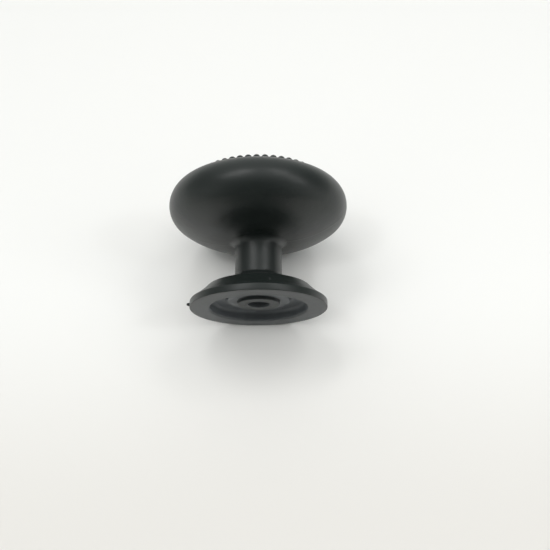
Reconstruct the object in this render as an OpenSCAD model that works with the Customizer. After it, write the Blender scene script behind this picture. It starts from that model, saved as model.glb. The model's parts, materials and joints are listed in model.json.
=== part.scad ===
// Cabinet knob: one casting with a beaded round head, a straight neck and a stepped foot.
// The axis is +Z. The origin is at the centre of the foot's mounting face.

/* [Head] */
// Largest diameter of the head
head_d = 32; // [26:0.5:44]
// Radius of the rounded rim, in section
rim_r = 4.3; // [3.4:0.1:5.4]
// Rise of the underside from its lowest ring to the bottom of the rim's rounding
belly_rise = 2.3; // [1.4:0.1:4]
// Radius, out from the axis, of the lowest ring of the underside
belly_ring_r = 5; // [2:0.5:6]
// Depth by which the seat of the beads is cut below the top of the rim's rounding
seat_cut = 0.08; // [0.02:0.01:0.2]
// Rise of the domed face above the seat of the beads
face_rise = 1.2; // [0.6:0.1:2]
// Width of the flat between the beads and the domed face
face_gap = 0.25; // [0.15:0.05:0.5]

/* [Beads] */
// Diameter of one bead
bead_d = 1.36; // [1:0.02:1.6]
// Gap between one bead and the next, rounded so that the beads fill the ring
bead_gap = 0.06; // [0.06:0.01:0.5]
// Distance by which the ring of beads lies inside the top of the rim's rounding
bead_inset = 0.4; // [0.2:0.05:1]
// Height of a bead's middle above its seat
bead_rise = 0.4; // [0.1:0.05:0.5]

/* [Neck] */
// Diameter of the neck
neck_d = 8.3; // [6.6:0.1:10]
// Length of the neck, from the foot to the lowest ring of the head
neck_len = 6.6; // [5:0.1:14]
// Radius of the fillet between the neck and the head
neck_fillet = 1.2; // [0.8:0.1:2.4]

/* [Foot] */
// Diameter of the foot's flange
foot_d = 24; // [21:0.5:32]
// Height of the flange's side
flange_h = 1.25; // [0.9:0.05:1.8]
// Radius of the rounded lower edge of the flange
flange_edge_r = 0.2; // [0.1:0.05:0.4]
// Width of the flange outside the raised tier
flange_w = 3; // [2:0.05:3.6]
// Height of the tier's edge above the mounting face
tier_h = 3.7; // [3.2:0.05:4.4]
// Radius of the tier's rounded edge
tier_edge_r = 1; // [0.4:0.1:1.4]
// Slope of the tier's side where the hollow curve starts
tier_slope = 46; // [42:1:56]
// Height of the foot where the neck stands on it
foot_h = 5.6; // [5:0.1:7.2]
// Depth of the hollow curve between the tier and the flange
cove_depth = 0.12; // [0.05:0.01:0.2]

/* [Underside] */
// Width of the flat ring that bears on the door or drawer
bearing_w = 3.5; // [3.2:0.05:4]
// Depth of the recess inside the flat ring
recess_depth = 1.9; // [1.6:0.05:2.4]
// Radius of the fillet in the recess's outer corner
recess_fillet = 0.7; // [0.3:0.05:0.8]
// Diameter of the boss in the recess
boss_d = 11.2; // [9.2:0.1:11.6]
// Depth of the boss's face below the mounting face
boss_depth = 1.35; // [1.1:0.05:1.55]
// Radius of the boss's rounded edge
boss_edge_r = 0.3; // [0.1:0.05:0.4]
// Diameter of the screw pad on the boss
pad_d = 7.4; // [6:0.1:9]
// Depth of the screw pad's face below the mounting face
pad_depth = 0.75; // [0.4:0.05:1.05]

/* [Screw hole] */
// Bore of the tapped hole, at the crests of its thread
bore_d = 3.3; // [2.5:0.05:4.5]
// Length of the straight wall of the hole
bore_len = 11.5; // [8:0.5:14]
// Width of the hole's countersunk mouth
bore_chamfer = 0.25; // [0.1:0.05:0.4]
// Angle at the point of the drilled end
drill_angle = 118; // [90:1:140]

/* [Burr] */
// How far the parting-line burr stands out of the flange
burr_out = 0.5; // [0.2:0.05:0.8]
// Width of the burr at its root
burr_w = 0.9; // [0.4:0.05:1]
// Width of the burr's blunt tip
burr_tip_w = 0.4; // [0.1:0.05:0.5]
// Depth of the burr's middle below the top of the flange's side
burr_drop = 0.55; // [0.4:0.05:0.6]
// Turn of the burr about the axis, from -X towards -Y
burr_turn = 4; // [-15:1:15]

/* [Hidden] */
$fn = 96;

// Length by which cutters and joined shapes run into each other
overlap = 0.5;

// Largest turn between one point of an arc in the section and the next
arc_step = 5;

// Size of the small chamfer on the flange's top edge
flange_chamfer = 0.125;

// Radii from the diameters
head_r = head_d / 2;
bead_r = bead_d / 2;
neck_r = neck_d / 2;
foot_r = foot_d / 2;
boss_r = boss_d / 2;
pad_r = pad_d / 2;
bore_r = bore_d / 2;

// The head is stacked on the neck, and the neck on the foot.
belly_z = foot_h + neck_len;
rim_c = [head_r - rim_r, belly_z + belly_rise + rim_r];
seat_z = rim_c[1] + rim_r - seat_cut;
seat_angle = asin(1 - seat_cut / rim_r);

// The underside is one arc that runs into the rim's rounding without a corner.
belly_out = rim_c[0] - belly_ring_r;
belly_up = rim_r + belly_rise;
belly_r = (belly_out ^ 2 + belly_up ^ 2 - rim_r ^ 2) / (2 * belly_rise);
belly_c = [belly_ring_r, belly_z + belly_r];

// The fillet touches the neck on one side and the underside on the other.
fillet_x = neck_r + neck_fillet;
fillet_c = [fillet_x,
            belly_c[1] - sqrt((belly_r + neck_fillet) ^ 2 - (fillet_x - belly_ring_r) ^ 2)];

// The beads fill their ring, and the domed face starts behind them.
bead_ring_r = rim_c[0] - bead_inset;
bead_count = round(2 * PI * bead_ring_r / (bead_d + bead_gap));
face_r = bead_ring_r - bead_r - face_gap;
face_sphere_r = (face_r ^ 2 + face_rise ^ 2) / (2 * face_rise);
face_c = [0, seat_z + face_rise - face_sphere_r];

// The tier's rounded edge touches the cone that carries the neck, and turns down to the side.
tier_r = foot_r - flange_w;
cone_angle = atan2(foot_h - tier_h, tier_r - neck_r);
tier_back = tier_edge_r * tan((tier_slope - cone_angle) / 2);
tier_c = [tier_r - tier_back * cos(cone_angle) - tier_edge_r * sin(cone_angle),
          tier_h + tier_back * sin(cone_angle) - tier_edge_r * cos(cone_angle)];

// The hollow curve runs from the tier's rounded edge to the flange's top edge.
cove_top = tier_c + tier_edge_r * [sin(tier_slope), cos(tier_slope)];
cove_end = [foot_r - flange_chamfer, flange_h];
cove_chord = norm(cove_end - cove_top);
cove_r = (cove_chord ^ 2 / 4 + cove_depth ^ 2) / (2 * cove_depth);
cove_normal = [cove_top[1] - cove_end[1], cove_end[0] - cove_top[0]] / cove_chord;
cove_c = (cove_top + cove_end) / 2 + cove_normal * (cove_r - cove_depth);

// The recess starts where the bearing ring ends.
recess_r = foot_r - bearing_w;

// Direction from one point of the section to another, from 0 to 360 degrees
function heading(start, end) = (atan2(end[1] - start[1], end[0] - start[0]) + 360) % 360;

// Points of an arc, from one direction to another
function arc(centre, radius, from, to) =
    let (steps = ceil(abs(to - from) / arc_step))
    [for (i = [0 : steps])
        let (a = from + (to - from) * i / steps) centre + radius * [cos(a), sin(a)]];

// A list of points without its first, for an arc that starts where the last one ended
function onward(points) = [for (i = [1 : len(points) - 1]) points[i]];

// Half section of the head, from the middle of its face to the neck
head_outline =
    let (belly_start = heading(belly_c, rim_c), belly_end = heading(belly_c, fillet_c))
    concat(arc(face_c, face_sphere_r, 90, acos(face_r / face_sphere_r)),
           arc(rim_c, rim_r, seat_angle, belly_start - 360),
           onward(arc(belly_c, belly_r, belly_start, belly_end)),
           onward(arc(fillet_c, neck_fillet, belly_end - 180, 180)));

// Half section of the foot's outside, from the neck to the bearing ring
foot_outline =
    concat([[neck_r, foot_h]],
           arc(tier_c, tier_edge_r, 90 - cone_angle, 90 - tier_slope),
           onward(arc(cove_c, cove_r, heading(cove_c, cove_top), heading(cove_c, cove_end))),
           [[foot_r, flange_h - flange_chamfer]],
           arc([foot_r - flange_edge_r, flange_edge_r], flange_edge_r, 0, -90));

// Half section of the underside, from the bearing ring to the middle of the screw pad
underside_outline =
    concat([[recess_r, 0]],
           arc([recess_r - recess_fillet, recess_depth - recess_fillet], recess_fillet, 0, 90),
           [[boss_r, recess_depth]],
           arc([boss_r - boss_edge_r, boss_depth + boss_edge_r], boss_edge_r, 0, -90),
           [[pad_r, boss_depth], [pad_r, pad_depth], [0, pad_depth]]);

// Head, neck and foot, turned about the axis from one closed half section
module turned_body() {
    rotate_extrude() polygon(concat(head_outline, foot_outline, underside_outline));
}

// Tapped hole: its countersunk mouth, its straight wall and its drilled point
module screw_hole() {
    mouth_r = bore_r + bore_chamfer;
    wall_z = pad_depth + bore_chamfer;
    translate([0, 0, pad_depth - overlap]) cylinder(h = overlap, r = mouth_r);
    translate([0, 0, pad_depth]) cylinder(h = bore_chamfer, r1 = mouth_r, r2 = bore_r);
    translate([0, 0, wall_z]) cylinder(h = bore_len, r = bore_r);
    translate([0, 0, wall_z + bore_len])
        cylinder(h = bore_r / tan(drill_angle / 2), r1 = bore_r, r2 = 0);
}

// Ring of round beads, each part sunk in its seat
module bead_ring() {
    for (i = [0 : bead_count - 1])
        rotate([0, 0, (i + 0.5) * 360 / bead_count])
            translate([bead_ring_r, 0, seat_z + bead_rise]) sphere(r = bead_r);
}

// Burr that the mould's parting line left on the -X side of the flange
module parting_burr() {
    rotate([0, 0, burr_turn]) translate([overlap - foot_r, 0, flange_h - burr_drop])
        rotate([0, -90, 0])
            cylinder(h = burr_out + overlap, r1 = burr_w / 2, r2 = burr_tip_w / 2);
}

module knob_casting() {
    color([0.16, 0.165, 0.165]) difference() {
        union() {
            turned_body();
            bead_ring();
            parting_burr();
        }
        screw_hole();
    }
}

knob_casting();
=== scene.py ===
# %% [markdown]
# # A black cabinet knob
# The knob is one casting: a round head with a ring of beads, a neck and a stepped foot. It has no
# moving parts, so the one piece made here rides on the model's one body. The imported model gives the
# overall sizes, and this script makes the surface that is seen.

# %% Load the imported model
import json
import math

import bmesh
import bpy
from mathutils import Matrix, Vector

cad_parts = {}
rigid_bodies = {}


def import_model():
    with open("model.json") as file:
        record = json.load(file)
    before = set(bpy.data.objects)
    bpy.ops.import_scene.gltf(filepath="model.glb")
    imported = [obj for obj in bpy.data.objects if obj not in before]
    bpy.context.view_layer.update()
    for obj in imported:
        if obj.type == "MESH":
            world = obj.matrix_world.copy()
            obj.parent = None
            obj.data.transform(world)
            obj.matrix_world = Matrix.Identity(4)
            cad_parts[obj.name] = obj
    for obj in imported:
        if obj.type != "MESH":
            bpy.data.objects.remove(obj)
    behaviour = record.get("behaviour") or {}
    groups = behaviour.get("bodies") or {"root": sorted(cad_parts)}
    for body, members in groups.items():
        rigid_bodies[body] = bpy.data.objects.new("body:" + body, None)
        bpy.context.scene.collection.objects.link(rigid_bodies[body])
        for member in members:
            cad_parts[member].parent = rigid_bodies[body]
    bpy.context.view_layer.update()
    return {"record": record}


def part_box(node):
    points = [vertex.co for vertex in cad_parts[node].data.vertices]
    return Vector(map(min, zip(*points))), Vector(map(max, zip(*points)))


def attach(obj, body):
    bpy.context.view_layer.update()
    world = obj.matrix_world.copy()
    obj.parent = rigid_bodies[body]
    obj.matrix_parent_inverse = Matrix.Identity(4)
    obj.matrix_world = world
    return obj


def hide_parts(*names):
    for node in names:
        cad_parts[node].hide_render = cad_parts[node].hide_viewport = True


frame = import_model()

# %% [markdown]
# The scene is in metres, but a knob is drawn in millimetres. The section below is written in
# millimetres, and the finished mesh is scaled once. The head's size and the height come from the
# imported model, and the size of the screw hole from its record, so they can't drift apart.

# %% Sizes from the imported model
MM = 0.001
top_corner = [Vector(corner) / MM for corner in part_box("knob_casting")][1]
mounts = {mount["name"]: mount for mount in frame["record"]["mounts"]}
hole_sizes = mounts["screw_hole"]["dims"]
head_radius = round(top_corner.x, 1)
knob_height = top_corner.z
bore_radius = hole_sizes["r_mm"]
bore_length = hole_sizes["length_mm"]
print("head radius", head_radius, "height", round(knob_height, 2), "bore radius", bore_radius)

# %% [markdown]
# ## Camera
# The camera looks at the back of the foot from a little below its face, as someone does who turns
# the knob over to see where the screw goes. A short distance gives a strong perspective, in which
# the foot looks large beside the head. The direction is turned into three axes: right, up and back.

# %% Where the camera looks
aim = Vector((2.91, 0, 6.17)) * MM
distance = 140 * MM
below = math.radians(17.5)
roll = math.radians(-0.6)

forward = Vector((0, math.cos(below), math.sin(below)))
upright = Vector((0, -math.sin(below), math.cos(below)))
up = Matrix.Rotation(-roll, 3, forward) @ upright
right = forward.cross(up)
facing = Matrix((right, up, -forward)).transposed().to_4x4()
print("the camera looks up by", round(math.degrees(below), 1), "degrees")

# %% Camera
camera_data = bpy.data.cameras.new("camera")
camera_data.sensor_width = 36
camera_data.lens = 51.9
camera_data.clip_start = 0.01
camera = bpy.data.objects.new("camera", camera_data)
camera.matrix_world = Matrix.Translation(aim - forward * distance) @ facing
bpy.context.scene.collection.objects.link(camera)
bpy.context.scene.camera = camera
bpy.context.scene.view_settings.view_transform = "Standard"
print("camera stands at", [round(v, 4) for v in camera.location])

# %% [markdown]
# ## Shader maths
# Node trees are easier to read as sums than as boxes. `Value` wraps a socket, so that `a * b + c`
# adds the Math nodes. The reflected forms, such as `__rsub__`, let a plain number stand first, so
# that `1 - mask` works too.

# %% Values that add their own Math nodes
class Value:
    def __init__(self, nodes, socket):
        self.nodes, self.socket = nodes, socket

    def maths(self, operation, *others):
        inputs = dict(enumerate((self, *others)))
        return self.nodes.add("ShaderNodeMath", {"operation": operation}, inputs)

    def __add__(self, other):
        return self.maths("ADD", other)

    def __mul__(self, other):
        return self.maths("MULTIPLY", other)

    def __sub__(self, other):
        return self.maths("SUBTRACT", other)

    def __rsub__(self, other):
        return self * -1 + other

    __radd__ = __add__
    __rmul__ = __mul__

    def rise(self, start, end):
        """0 below start, 1 above end, and a smooth rise between."""
        return self.nodes.add("ShaderNodeMapRange", {"interpolation_type": "SMOOTHSTEP"},
                              {"Value": self, "From Min": start, "From Max": end})

# %% [markdown]
# `Nodes` holds one node tree, and its `add` makes every kind of node from its type, its settings
# and its inputs. Colours don't go through Math nodes, which would turn them grey. A Mix node takes
# them instead. It has a set of sockets for each kind of data, and the numbers name the colour ones.

# %% One method that makes any node
MIX_FIRST, MIX_SECOND, MIX_RESULT = 6, 7, 2


class Nodes:
    def __init__(self, owner):
        owner.use_nodes = True
        self.tree = owner.node_tree
        self.tree.nodes.clear()

    def add(self, kind, settings=None, inputs=None, output=0):
        """Makes one node. Settings come first, because they can change which sockets it has."""
        node = self.tree.nodes.new(kind)
        for name, setting in (settings or {}).items():
            setattr(node, name, setting)
        for name, item in (inputs or {}).items():
            if isinstance(item, Value):
                self.tree.links.new(item.socket, node.inputs[name])
            else:
                node.inputs[name].default_value = item
        return Value(self, node.outputs[output]) if node.outputs else None

    def mix_colour(self, factor, first, second):
        return self.add("ShaderNodeMix", {"data_type": "RGBA"},
                        {"Factor": factor, MIX_FIRST: first, MIX_SECOND: second}, MIX_RESULT)

    def split(self, vector):
        """The three coordinates of a vector."""
        first = self.add("ShaderNodeSeparateXYZ", inputs={"Vector": vector})
        return [Value(self, socket) for socket in first.socket.node.outputs]

# %% [markdown]
# ## Stage
# The knob lies on its side on a sheet of white paper. In the knob's own frame that sheet stands
# behind it, and it leans so that it touches the rim of the head and the rim of the foot. How far
# the rim's rounding reaches depends on the lean, so the angle is found step by step.

# %% How far the paper leans
rim_radius = 4.3
belly_height = 12.2
belly_rise = 2.3
rim_centre = Vector((head_radius - rim_radius, 0, belly_height + belly_rise + rim_radius))
foot_radius = 12.0

tries = 20
lean = 0.0
for attempt in range(tries):
    reach = rim_radius / math.cos(lean) - (foot_radius - rim_centre.x)
    lean = math.atan2(reach, rim_centre.z)
print("the paper leans by", round(math.degrees(lean), 2), "degrees")

# %% [markdown]
# A grid of one face is enough for a flat sheet. It starts out facing up, and it is stood up to face
# the knob and leant away at the top. Most of it is above the knob, because whoever holds the knob
# stands below.

# %% The sheet of paper
paper_size = 300 * MM
paper_raised = 220 * MM
paper_gap = 0.05


def finished(name, bm):
    """Writes a bmesh to a new object at the origin."""
    mesh = bpy.data.meshes.new(name)
    bm.to_mesh(mesh)
    bm.free()
    thing = bpy.data.objects.new(name, mesh)
    bpy.context.scene.collection.objects.link(thing)
    return thing


sheet = bmesh.new()
bmesh.ops.create_grid(sheet, x_segments=1, y_segments=1, size=paper_size)
stand = Matrix.Rotation(math.radians(90) - lean, 4, "X") @ Matrix.Translation((0, paper_raised, 0))
bmesh.ops.transform(sheet, matrix=stand, verts=sheet.verts)
touch = Vector((0, foot_radius + paper_gap, 0)) * MM
bmesh.ops.translate(sheet, vec=touch, verts=sheet.verts)
paper = finished("paper", sheet)
print("paper faces", [round(v, 3) for v in paper.data.polygons[0].normal])

# %% [markdown]
# Paper is matt, so it is a Diffuse shader. Its colour is painted a little greyer and warmer low
# down, which is painted shade for the room's light that reaches less of it there. Seen from behind
# it is clear, so that it never hides the knob.

# %% Paper material
paper_low, paper_shaded_colour = -40 * MM, (0.79, 0.765, 0.735, 1)
paper_high, paper_high_colour = 10 * MM, (0.90, 0.89, 0.875, 1)

paper_look = bpy.data.materials.new("white_paper")
nodes = Nodes(paper_look)
paper_height = nodes.split(nodes.add("ShaderNodeTexCoord", output="Object"))[2]
higher = paper_height.rise(paper_low, paper_high)
# Painted shade: the paper's colour is mixed greyer and warmer towards the bottom.
painted_shade_tint = nodes.mix_colour(higher, paper_shaded_colour, paper_high_colour)
white = nodes.add("ShaderNodeBsdfDiffuse", inputs={"Color": painted_shade_tint})
clear = nodes.add("ShaderNodeBsdfTransparent")
behind = nodes.add("ShaderNodeNewGeometry", output="Backfacing")
sided = nodes.add("ShaderNodeMixShader", inputs={"Fac": behind, 1: white, 2: clear})
nodes.add("ShaderNodeOutputMaterial", inputs={"Surface": sided})
paper.data.materials.append(paper_look)
print(paper_look.name, "has", len(nodes.tree.nodes), "nodes")

# %% [markdown]
# The knob also stands on a pale floor. The floor is there for an eye above it, and it is clear to
# an eye below and to the light, so that the room lights the knob's underside as if it were held up.
# Away from the knob it fades into the background, so that its own edge never shows.

# %% The floor
floor_size = 600 * MM
floor_colour = (0.55, 0.545, 0.535, 1)
floor_glow_colour, floor_glow = (1, 0.995, 0.98, 1), 0.42
fade_start, fade_end = 40 * MM, 160 * MM

ground = bmesh.new()
bmesh.ops.create_grid(ground, x_segments=1, y_segments=1, size=floor_size)
floor = finished("floor", ground)

floor_look = bpy.data.materials.new("pale_floor")
nodes = Nodes(floor_look)
pale = nodes.add("ShaderNodeBsdfDiffuse", inputs={"Color": floor_colour})
glow = nodes.add("ShaderNodeEmission", inputs={"Color": floor_glow_colour, "Strength": floor_glow})
lit = nodes.add("ShaderNodeAddShader", inputs={0: pale, 1: glow})
clear = nodes.add("ShaderNodeBsdfTransparent")
camera_ray = nodes.add("ShaderNodeLightPath", output="Is Camera Ray")
below_it = nodes.add("ShaderNodeNewGeometry", output="Backfacing")
place = nodes.add("ShaderNodeTexCoord", output="Object")
away = nodes.add("ShaderNodeVectorMath", {"operation": "LENGTH"}, {"Vector": place}, "Value")
shown = camera_ray * (1 - below_it) * (1 - away.rise(fade_start, fade_end))
sided = nodes.add("ShaderNodeMixShader", inputs={"Fac": shown, 1: clear, 2: lit})
nodes.add("ShaderNodeOutputMaterial", inputs={"Surface": sided})
floor.data.materials.append(floor_look)
print(floor_look.name, "has", len(nodes.tree.nodes), "nodes")

# %% [markdown]
# ## Light
# Black paint shows little of its own colour. What makes it readable is what it reflects: the pale
# paper behind it, the room, and long soft lamps. A lamp's place is given by the direction in which
# the knob sees it, because that decides where its streak shows on the paint.

# %% Where a lamp stands
knob_middle = Vector((0, 0, 12))
lamp_reach = 400
paper_lamp_reach = 500


def placed(azimuth, elevation, reach=lamp_reach):
    """A place in millimetres, seen from the knob. Azimuth 0 is towards -Y and 90 towards +X."""
    turn, rise = math.radians(azimuth), math.radians(elevation)
    return Vector((math.sin(turn) * math.cos(rise), -math.cos(turn) * math.cos(rise),
                   math.sin(rise))) * reach + knob_middle


def soft_lamp(name, start, end, width, watts, colour=(1, 1, 1)):
    """A long lamp from start to end, in millimetres, that faces the knob."""
    data = bpy.data.lights.new(name, "AREA")
    data.shape = "RECTANGLE"
    data.size, data.size_y = (end - start).length * MM, width * MM
    data.energy, data.color = watts, colour
    lamp = bpy.data.objects.new(name, data)
    centre = (start + end) / 2
    back = (centre - knob_middle).normalized()
    along = (end - start).normalized()
    lamp.matrix_world = (Matrix.Translation(centre * MM)
                         @ Matrix((along, back.cross(along), back)).transposed().to_4x4())
    bpy.context.scene.collection.objects.link(lamp)
    return lamp

# %% [markdown]
# Each side has one long lamp, which draws a streak down the neck, and a short one above it, which
# draws the brighter streak on the shoulder of the head. A faint lamp far to the right lifts the
# side of the head.

# %% Lamps for the knob
# Name, azimuth and elevation of both ends in degrees, width in millimetres, and watts
knob_lamps = [
    ("left_lamp", (-38, 12), (-11, 27), 66, 0.20),
    ("left_top", (-18, 27), (-6, 33), 50, 0.045),
    ("right_lamp", (22, 30), (56, -6), 70, 0.21),
    ("right_top", (14, 34), (32, 27), 50, 0.06),
    ("side_lamp", (60, -8), (84, -26), 90, 0.02),
]
for name, start, end, width, watts in knob_lamps:
    soft_lamp(name, placed(*start), placed(*end), width, watts)
print("lamps for the knob:", len(knob_lamps))

# %% [markdown]
# Paint that is nearly black and paper that is nearly white need different amounts of light, as
# they do in a studio, where cards and flags keep a lamp off one of them. A lamp can be linked to
# the things it lights: these light the paper alone, and the knob still throws its shadow. A broad
# warm one gives the soft shadow, and a narrow cool one on each side gives a fainter one sideways.

# %% Lamps for the paper
warm, cool = (1, 0.985, 0.955), (0.93, 0.98, 1)
# The same columns as above, and a colour
paper_lamps = [
    ("paper_lamp", (-30, -3.5), (17, -3.5), 150, 0.53, warm),
    ("left_window", (-25, -1), (-20, -1), 40, 0.16, cool),
    ("right_window", (33, -1), (39, -1), 40, 0.16, cool),
]
lit_by_them = bpy.data.collections.new("lit_by_paper_lamp")
lit_by_them.objects.link(paper)
for name, start, end, width, watts, colour in paper_lamps:
    ends = (placed(*end_place, paper_lamp_reach) for end_place in (start, end))
    lamp = soft_lamp(name, *ends, width, watts, colour)
    lamp.light_linking.receiver_collection = lit_by_them
print("lamps for the paper:", len(paper_lamps))

# %% [markdown]
# The room is the world, and it isn't even. It is bright above, and dark below, where whoever holds
# the knob stands. It is darker on both sides above, and a little lighter on both sides below. That
# gives the black paint its shape, so the gloss keeps reflecting this room. The camera sees a plain
# pale background instead, and so would anything that is seen through glass.

# %% The room
room_above = 0.78
right_loss, right_start, right_end = 0.75, 0.3, 0.85
left_loss, left_start, left_end = 0.6, 0.4, 0.9
room_below = 0.15
sides_gain, sides_start, sides_end = 0.5, 0.3, 0.9
horizon_start, horizon_end = -0.45, 0.25
room_colour = (0.965, 1, 0.98, 1)
background_colour = (0.98, 0.98, 0.965, 1)

world = bpy.data.worlds.new("pale_room")
bpy.context.scene.world = world
nodes = Nodes(world)
sideways, depth, height = nodes.split(nodes.add("ShaderNodeTexCoord", output="Generated"))
right_side = sideways.rise(right_start, right_end)
left_side = (sideways * -1).rise(left_start, left_end)
both_sides = sideways.maths("ABSOLUTE").rise(sides_start, sides_end)
above = room_above * (1 - right_loss * right_side) * (1 - left_loss * left_side)
under = room_below + sides_gain * both_sides
level = under + (above - under) * height.rise(horizon_start, horizon_end)
room = nodes.add("ShaderNodeBackground", inputs={"Color": room_colour, "Strength": level})
plain = nodes.add("ShaderNodeBackground", inputs={"Color": background_colour, "Strength": 1})
seen = (nodes.add("ShaderNodeLightPath", output="Is Camera Ray")
        + nodes.add("ShaderNodeLightPath", output="Is Transmission Ray")).maths("MINIMUM", 1)
view = nodes.add("ShaderNodeMixShader", inputs={"Fac": seen, 1: room, 2: plain})
nodes.add("ShaderNodeOutputWorld", inputs={"Surface": view})
print(world.name, "has", len(nodes.tree.nodes), "nodes")

# %% [markdown]
# ## The casting's section
# A turned shape could be built from stacked cylinders, but then its curves would be steps. It is
# better drawn once, as half a section, and spun about its axis. The section is drawn like a pen
# line: `line` goes straight to a point, and `arc` spins the pen about a centre, so that round
# stretches are true arcs. `corner` is a point whose edge is softened later, because paint and a
# worn mould leave no edge sharp.

# %% A pen that draws half a section
class Section:
    def __init__(self, x, z):
        self.bm = bmesh.new()
        self.tip = self.bm.verts.new((x, 0, z))
        self.corners = []

    def line(self, x, z, pieces=1):
        start, end = self.tip.co.copy(), Vector((x, 0, z))
        for piece in range(1, pieces + 1):
            made = bmesh.ops.extrude_vert_indiv(self.bm, verts=[self.tip])
            self.tip = made["verts"][0]
            self.tip.co = start.lerp(end, piece / pieces)

    def corner(self, x, z, radius, pieces=1):
        self.line(x, z, pieces)
        self.corners.append((self.tip, radius))

    def arc(self, centre, degrees, step):
        """Turns the pen about centre, clockwise in the section where degrees is positive."""
        steps = max(2, math.ceil(abs(degrees) / step))
        made = bmesh.ops.spin(self.bm, geom=[self.tip], cent=centre, axis=(0, 1, 0),
                              angle=math.radians(degrees), steps=steps)
        self.tip = next(v for v in made["geom_last"] if isinstance(v, bmesh.types.BMVert))

# %% [markdown]
# A full spin leaves a seam where it started, and a stack of points on the axis at each pole. Both
# are merged. Spinning can also turn a shape inside out, so the normals are worked out again.

# %% Spin a section into a closed body
same_point = 0.0005


def spun(pen, steps):
    for vert, radius in pen.corners:
        bmesh.ops.bevel(pen.bm, geom=[vert], offset=radius, segments=4, profile=0.5,
                        affect="VERTICES", material=-1)
    line = pen.bm.verts[:] + pen.bm.edges[:]
    bmesh.ops.spin(pen.bm, geom=line, cent=(0, 0, 0), axis=(0, 0, 1),
                   angle=math.radians(360), steps=steps, use_merge=True)
    bmesh.ops.remove_doubles(pen.bm, verts=pen.bm.verts, dist=same_point)
    bmesh.ops.recalc_face_normals(pen.bm, faces=pen.bm.faces)
    return pen.bm


def angle_of(start, end):
    """Direction from start to end in the section, in degrees, anticlockwise from +X."""
    return math.degrees(math.atan2(end.z - start.z, end.x - start.x))


def at(centre, radius, degrees):
    """The point of a circle in that direction."""
    turn = math.radians(degrees)
    return centre + Vector((math.cos(turn), 0, math.sin(turn))) * radius

# %% [markdown]
# The head is three arcs that run into each other: the rounded rim, the broad underside, and the
# fillet that carries the head on its neck. Each arc ends where the next one touches it, which is on
# the line through their two centres.

# %% Arcs of the head
neck_radius = 4.15
belly_ring = 5.0
across = rim_centre.x - belly_ring
belly_radius = (across ** 2 + (rim_radius + belly_rise) ** 2 - rim_radius ** 2) / (2 * belly_rise)
belly_centre = Vector((belly_ring, 0, belly_height + belly_radius))

fillet_radius = 1.2
fillet_x = neck_radius + fillet_radius
fillet_drop = math.sqrt((belly_radius + fillet_radius) ** 2 - (fillet_x - belly_ring) ** 2)
fillet_centre = Vector((fillet_x, 0, belly_centre.z - fillet_drop))

belly_start = angle_of(belly_centre, rim_centre)
belly_end = angle_of(belly_centre, fillet_centre)
print("underside radius", round(belly_radius, 2))

# %% [markdown]
# The beads sit on a narrow flat that is cut into the top of the rim, and the domed face rises
# inside them. A dome this low is the cap of a large ball, whose radius follows from its width and
# its rise.

# %% Seat of the beads and the domed face
seat_cut = 0.08
seat_height = rim_centre.z + rim_radius - seat_cut
seat_angle = math.degrees(math.asin(1 - seat_cut / rim_radius))
seat_end = at(rim_centre, rim_radius, seat_angle)

bead_radius = 0.68
bead_inset = 0.4
bead_ring = rim_centre.x - bead_inset
face_gap = 0.25
face_radius = bead_ring - bead_radius - face_gap
face_rise = knob_height - seat_height
face_ball = (face_radius ** 2 + face_rise ** 2) / (2 * face_rise)
face_centre = Vector((0, 0, knob_height - face_ball))
face_turn = math.degrees(math.asin(face_radius / face_ball))
print("seat of the beads at", round(seat_height, 2), "face radius", round(face_radius, 2))

# %% [markdown]
# The foot has a cone that meets the neck, a tier with a soft edge, a hollow slope and a flange. The
# tier's edge is an arc that touches the cone, and the hollow slope is a shallow arc from there to
# the flange.

# %% Outside of the foot
foot_height = 5.6
flange_height = 1.25
flange_edge = 0.12
flange_chamfer = 0.125
tier_radius = 9.0
tier_height = 3.7
tier_edge = 1.0
tier_slope = math.radians(46)
cove_depth = 0.12

cone = math.atan2(foot_height - tier_height, tier_radius - neck_radius)
tier_back = tier_edge * math.tan((tier_slope - cone) / 2)
tier_centre = Vector((tier_radius - tier_back * math.cos(cone) - tier_edge * math.sin(cone), 0,
                      tier_height + tier_back * math.sin(cone) - tier_edge * math.cos(cone)))
cone_end = at(tier_centre, tier_edge, 90 - math.degrees(cone))
cove_top = at(tier_centre, tier_edge, 90 - math.degrees(tier_slope))
cove_end = Vector((foot_radius - flange_chamfer, 0, flange_height))
chord = cove_end - cove_top
cove_radius = (chord.length ** 2 / 4 + cove_depth ** 2) / (2 * cove_depth)
cove_out = Vector((-chord.z, 0, chord.x)).normalized()
cove_centre = (cove_top + cove_end) / 2 + cove_out * (cove_radius - cove_depth)
cove_turn = angle_of(cove_centre, cove_top) - angle_of(cove_centre, cove_end)
print("cone", round(math.degrees(cone), 1), "degrees, hollow slope radius", round(cove_radius, 2))

# %% [markdown]
# The underside is hollowed to save metal, which leaves a flat ring to bear on the door, a boss, and
# a pad round the tapped hole. The hole's wall lies at the bottom of its thread, and the thread is
# added later. A drill leaves the pointed end.

# %% Underside of the foot
recess_radius, recess_depth, recess_fillet = 8.5, 1.9, 0.7
boss_radius, boss_depth = 5.6, 1.35
pad_radius, pad_depth = 3.7, 0.75
mouth_depth = 0.25
thread_depth = 0.25
drill_angle = math.radians(118)

root_radius = bore_radius + thread_depth
hole_end = pad_depth + mouth_depth + bore_length
hole_point = hole_end + bore_radius / math.tan(drill_angle / 2)
print("the hole ends", round(hole_point, 2), "above the mounting face")

# %% [markdown]
# Now the pen runs from the middle of the face, round the rim and down the neck, over the foot, and
# back to the axis inside the hole. Long stretches are cut in pieces, so that no face is a sliver.

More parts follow.
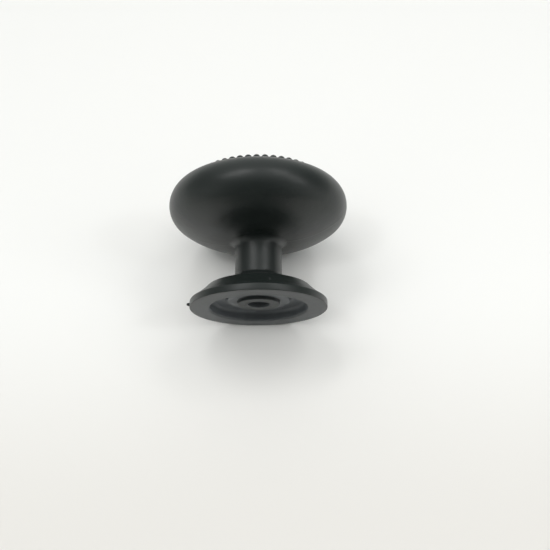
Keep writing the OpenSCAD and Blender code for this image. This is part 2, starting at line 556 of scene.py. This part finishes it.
# %% Draw the section and spin it
pen = Section(0, knob_height)
pen.arc(face_centre, face_turn, step=0.8)
pen.line(seat_end.x, seat_end.z, pieces=5)
pen.arc(rim_centre, seat_angle - belly_start, step=2.5)
pen.arc(belly_centre, belly_start - belly_end, step=1.5)
pen.arc(fillet_centre, belly_end, step=6)
pen.line(neck_radius, foot_height, pieces=10)
pen.line(cone_end.x, cone_end.z, pieces=6)
pen.arc(tier_centre, math.degrees(tier_slope - cone), step=4)
pen.arc(cove_centre, cove_turn, step=2)
pen.corner(foot_radius, flange_height - flange_chamfer, radius=0.1)
pen.line(foot_radius, flange_edge, pieces=3)
pen.arc(Vector((foot_radius - flange_edge, 0, flange_edge)), 90, step=15)
pen.corner(recess_radius, 0, radius=0.35, pieces=4)
pen.line(recess_radius, recess_depth - recess_fillet, pieces=2)
pen.arc(Vector((recess_radius - recess_fillet, 0, recess_depth - recess_fillet)), -90, step=12)
pen.corner(boss_radius, recess_depth, radius=0.2, pieces=3)
pen.corner(boss_radius, boss_depth, radius=0.3)
pen.corner(pad_radius, boss_depth, radius=0.12, pieces=3)
pen.corner(pad_radius, pad_depth, radius=0.14)
pen.corner(root_radius, pad_depth, radius=0.12, pieces=3)
pen.line(root_radius, hole_end, pieces=6)
pen.line(0, hole_point, pieces=2)
body = spun(pen, steps=256)
print("turned body:", len(body.verts), "points,", len(body.faces), "faces")

# %% [markdown]
# Beads like these are cut in the mould with a ball-ended punch, one beside the next. One ball is
# made at its place, and a spin that copies lays out the rest. Balls of this size need no more than
# a few hundred faces each, and the lower part of every ball lies inside the head.

# %% Ring of beads
bead_gap = 0.06
bead_rise = 0.4
bead_count = round(2 * math.pi * bead_ring / (2 * bead_radius + bead_gap))
half_step = Matrix.Rotation(math.pi / bead_count, 4, "Z")
first_place = half_step @ Matrix.Translation((bead_ring, 0, seat_height + bead_rise))

beads = bmesh.new()
bmesh.ops.create_uvsphere(beads, u_segments=20, v_segments=12, radius=bead_radius,
                          matrix=first_place)
bmesh.ops.spin(beads, geom=beads.faces[:], cent=(0, 0, 0), axis=(0, 0, 1), use_duplicate=True,
               angle=math.tau * (bead_count - 1) / bead_count, steps=bead_count - 1)
print("beads:", bead_count, "with", len(beads.faces), "faces")

# %% [markdown]
# Where the two halves of the mould met, a burr was left on the side of the flange. It is a short
# blunt cone, with its root inside the flange and its tip rounded by a bevel.

# %% Burr
burr_out = 0.5
burr_in = 0.5
burr_root = 0.45
burr_tip = 0.2
burr_rounding = 0.09
burr_height = 0.7
burr_turn = math.radians(4)
close_to = 0.01

burr_length = burr_out + burr_in
burr_middle = -foot_radius - burr_out + burr_length / 2
stand_out = Matrix.Rotation(math.radians(-90), 4, "Y")
burr_place = (Matrix.Rotation(burr_turn, 4, "Z")
              @ Matrix.Translation((burr_middle, 0, burr_height)) @ stand_out)
nib = bmesh.new()
bmesh.ops.create_cone(nib, cap_ends=True, segments=20, radius1=burr_root, radius2=burr_tip,
                      depth=burr_length, matrix=burr_place)
tip_edges = [edge for edge in nib.edges
             if all(v.co.xy.length > foot_radius + burr_out - close_to for v in edge.verts)]
bmesh.ops.bevel(nib, geom=tip_edges, offset=burr_rounding, segments=3, profile=0.5,
                affect="EDGES", material=-1)
print("burr:", len(nib.faces), "faces")

# %% [markdown]
# A tap cut the thread. Its crests stand where the bore is drawn in the model, and its roots lie
# deeper. One flat piece of its profile, spun up the hole, makes the whole thread.

# %% Thread
pitch = 0.7
turns = 15
steps_per_turn = 40
thread_start = pad_depth + 0.95
thread_sunk = 0.02
root_half = 0.42 * pitch
crest_half = 0.06 * pitch
profile = [(root_radius + thread_sunk, -root_half), (bore_radius, -crest_half),
           (bore_radius, crest_half), (root_radius + thread_sunk, root_half)]

thread = bmesh.new()
thread.faces.new([thread.verts.new((x, 0, thread_start + z)) for x, z in profile])
bmesh.ops.spin(thread, geom=thread.faces[:], cent=(0, 0, 0), axis=(0, 0, 1),
               angle=math.tau * turns, steps=steps_per_turn * turns,
               dvec=(0, 0, pitch / steps_per_turn))
print("thread:", len(thread.faces), "faces")

# %% [markdown]
# The knob came out of its mould in one shot, so the beads, the burr and the thread go into the same
# mesh as the turned body. They run into each other rather than being joined by a Boolean, which
# would leave slivers, and paint hides where they meet. Weighted normals keep the flats looking flat
# beside their small rounded edges.

# %% The casting as one mesh
carrier = bpy.data.meshes.new("carrier")
for part in (beads, nib, thread):
    part.to_mesh(carrier)
    part.free()
    body.from_mesh(carrier)
bpy.data.meshes.remove(carrier)
bmesh.ops.scale(body, vec=(MM, MM, MM), verts=body.verts)
bmesh.ops.recalc_face_normals(body, faces=body.faces)
casting = finished("casting", body)
casting.data.polygons.foreach_set("use_smooth", [True] * len(casting.data.polygons))
evened = casting.modifiers.new("even_shading", "WEIGHTED_NORMAL")
evened.keep_sharp = True
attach(casting, "root")
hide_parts("knob_casting")
print("casting:", sum(len(p.vertices) - 2 for p in casting.data.polygons), "triangles")

# %% [markdown]
# ## Black finish
# The knob is sprayed black over cast zinc. The coat is thin and satin. Its colour, its gloss and
# its relief all depend on where on the knob a point lies, so the first thing the material needs is
# that place, as the distance from the axis and the height above the mounting face. Masks made of
# these two pick out the recess, the pad, the hole and the bearing ring.

# %% Where a point of the paint lies
paint = bpy.data.materials.new("black_finish")
nodes = Nodes(paint)
where = nodes.add("ShaderNodeTexCoord", output="Object")
x, y, z = nodes.split(where)
radius = (x * x + y * y).maths("SQRT")


def within(distance, start, end):
    """1 below start and 0 above end, both in millimetres."""
    return 1 - distance.rise(start * MM, end * MM)


def mottled(scale, detail):
    """Soft random patches. A larger scale makes them smaller."""
    return nodes.add("ShaderNodeTexNoise",
                     inputs={"Vector": where, "Scale": scale, "Detail": detail})


soft_edge = 0.2
roof_start, roof_end = recess_depth + 0.1, recess_depth + 0.4
flat_start, flat_end = 0.1, 0.3
ring_fade = 1.0

inside = within(radius, recess_radius, recess_radius + soft_edge)
hollow = inside * within(z, roof_start, roof_end)
pad = within(radius, pad_radius, pad_radius + soft_edge)
hole = within(radius, root_radius, root_radius + soft_edge)
bearing = within(radius, foot_radius - ring_fade, foot_radius) * within(z, flat_start, flat_end)
cloudy = mottled(scale=260, detail=4)
grainy = mottled(scale=1500, detail=3)
print("masks for the recess, the pad, the hole and the bearing ring")

# %% [markdown]
# The underside is painted paler than the black: most in the recess, less on the bearing ring,
# little on the pad and more at the mouth of the hole, in soft patches. It could be a second, rough
# layer, but a colour mixed into the paint bakes better.

# %% Paler colour on the underside
recess_paler = 0.9
pad_less_pale = 0.80
hole_paler = 0.54
ring_paler = 0.42
thinnest, patchiness = 0.6, 0.8
black = (0.0150, 0.0200, 0.0185, 1)
paler_colour = (0.112, 0.122, 0.130, 1)

# A paler grey is mixed into the black on the underside, in soft patches.
paling = (recess_paler * hollow - pad_less_pale * hollow * pad + hole_paler * hollow * hole
           + ring_paler * bearing * (1 - inside))
paled_colour = nodes.mix_colour(paling * (thinnest + patchiness * cloudy), black, paler_colour)
print("dust over black paint")

# %% [markdown]
# One small scratch shows on the hollow slope of the foot. It is a stretched ball of paler colour:
# the distance to its middle is taken after each direction is multiplied, so that it comes out
# narrow across and long down the slope.

# %% Scratch on the foot
scratch_at = Vector((2.06, -10.2, 2.35)) * MM
scratch_squeeze = Vector((8, 1, 2.6))
scratch_solid, scratch_end = 0.7, 1.3
scratch_strength = 0.5
scratch_colour = (0.12, 0.125, 0.125, 1)

off_x, off_y, off_z = (((along - place) * squeeze).maths("POWER", 2) for along, place, squeeze
                       in zip((x, y, z), scratch_at, scratch_squeeze))
scratch = within((off_x + off_y + off_z).maths("SQRT"), scratch_solid, scratch_end)
colour = nodes.mix_colour(scratch * scratch_strength, paled_colour, scratch_colour)
print("scratch at", [round(v / MM, 2) for v in scratch_at])

# %% [markdown]
# The mould closed along a plane through the axis. Paint doesn't hide the line it left: a low, soft
# ridge down both sides of the head, the neck and the foot. It wanders a little and it comes and
# goes. It is far too fine for the mesh, so it is bump.

# %% Ridge along the mould's parting line
ridge_turn = math.radians(-9)
ridge_wander = 0.6 * MM
ridge_half = 0.22
ridge_starts = (1.3, 1.6)
ridge_ends = (17, 19)
ridge_least, ridge_more = 0.4, 0.9

ridge_side = x * math.sin(ridge_turn) - y * math.cos(ridge_turn)
ridge_off = (ridge_side + (mottled(scale=180, detail=2) - 0.5) * ridge_wander).maths("ABSOLUTE")
outside = (1 - within(z, *ridge_starts)) * within(z, *ridge_ends)
ridge = within(ridge_off, 0, ridge_half) * outside * (ridge_least + ridge_more * cloudy)
print("ridge turned by", round(math.degrees(ridge_turn)), "degrees")

# %% [markdown]
# Spray paint dries with a faint pebbled skin, and a casting under it is never quite even. Two
# noises give the pebbles and the slow swell, and the ridge is added to them. Heights are in
# metres, so that the bump is as high as it says. Paint is a plain Principled shader, duller on the
# recess and the bearing ring.

# %% Skin of the paint
pebble_height = 0.010 * MM
swell_height = 0.030 * MM
ridge_height = 0.022 * MM
satin, cloudy_rough, grainy_rough, underside_rough = 0.29, 0.10, 0.06, 0.08

relief = (mottled(scale=2400, detail=3) * pebble_height
          + mottled(scale=420, detail=2) * swell_height + ridge * ridge_height)
bump = nodes.add("ShaderNodeBump", inputs={"Height": relief, "Distance": 1.0, "Strength": 1.0})
underside = hollow.maths("MAXIMUM", bearing)
rough = satin + cloudy_rough * cloudy + grainy_rough * grainy + underside_rough * underside
surface = nodes.add("ShaderNodeBsdfPrincipled", inputs={
    "Base Color": colour, "Roughness": rough, "Normal": bump, "Specular IOR Level": 0.46})
nodes.add("ShaderNodeOutputMaterial", inputs={"Surface": surface})
casting.data.materials.append(paint)
print(paint.name, "has", len(nodes.tree.nodes), "nodes")
